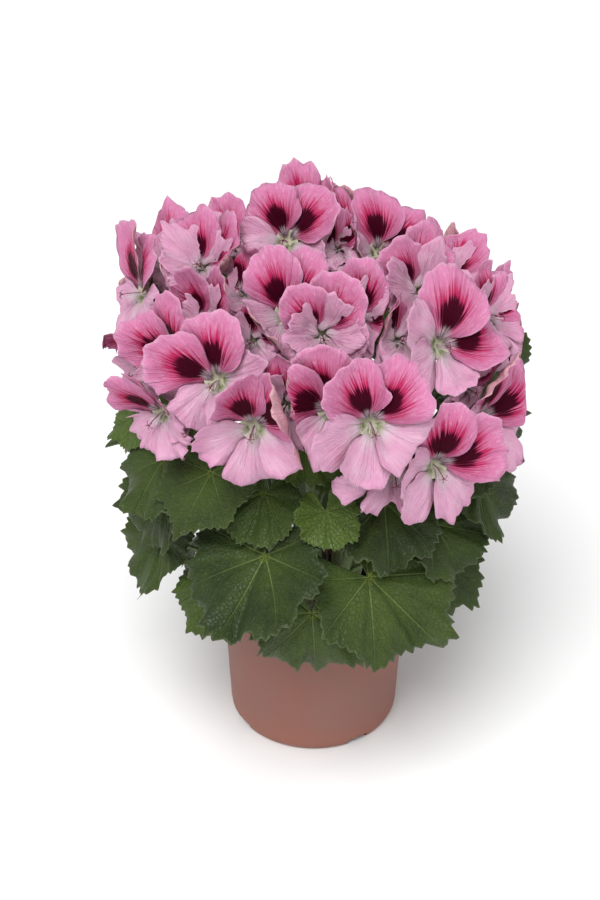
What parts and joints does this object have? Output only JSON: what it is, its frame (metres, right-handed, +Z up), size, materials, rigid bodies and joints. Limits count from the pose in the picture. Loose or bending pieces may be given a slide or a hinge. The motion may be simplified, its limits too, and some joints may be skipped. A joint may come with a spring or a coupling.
{
  "type": "potted geranium",
  "caption": "Bushy flowering geranium with lobed, toothed leaves and large blotched blooms, growing in a tapered round nursery pot.",
  "frame": {"origin": "centre of the pot's underside, where it rests", "axes": "+Z up along the pot's axis, -Y towards the front of the plant, +X to the right as seen from the front"},
  "size_m": [0.2596, 0.2638, 0.3753],
  "materials": {
    "pot": "matte moulded plastic, dusty terracotta",
    "soil": "moist peat and bark crumbs",
    "foliage": "soft, finely hairy leaf skin with paler veins",
    "petals": "silky thin petals, pink to pale lilac, dark blotch on the upper two"
  },
  "bodies": {
    "root": {"pot": "pot", "soil": "soil", "shoot_01": "foliage", "shoot_02": "foliage", "shoot_03": "foliage", "shoot_04": "foliage", "shoot_05": "foliage", "shoot_06": "foliage", "shoot_07": "foliage", "shoot_08": "foliage", "shoot_09": "foliage", "shoot_10": "foliage", "shoot_11": "foliage", "bloom_01": "petals", "bloom_02": "petals", "bloom_03": "petals", "bloom_04": "petals", "bloom_05": "petals", "bloom_06": "petals", "bloom_07": "petals", "bloom_08": "petals", "bloom_09": "petals", "bloom_10": "petals", "bloom_11": "petals", "bloom_12": "petals", "bloom_13": "petals", "bloom_14": "petals", "bloom_15": "petals", "bloom_16": "petals", "bloom_17": "petals", "bloom_18": "petals", "bloom_19": "petals", "bloom_20": "petals", "bloom_21": "petals", "bloom_22": "petals", "bloom_23": "petals", "bloom_24": "petals", "bloom_25": "petals", "bloom_26": "petals", "bloom_27": "petals", "bloom_28": "petals", "bloom_29": "petals", "bloom_30": "petals", "bloom_31": "petals", "bloom_32": "petals", "bloom_33": "petals", "bloom_34": "petals", "bloom_35": "petals", "bloom_36": "petals", "bloom_37": "petals", "bloom_38": "petals", "bloom_39": "petals", "bloom_40": "petals", "bloom_41": "petals", "bloom_42": "petals", "bloom_43": "petals", "bloom_44": "petals", "bloom_45": "petals"}
  },
  "joints": []
}
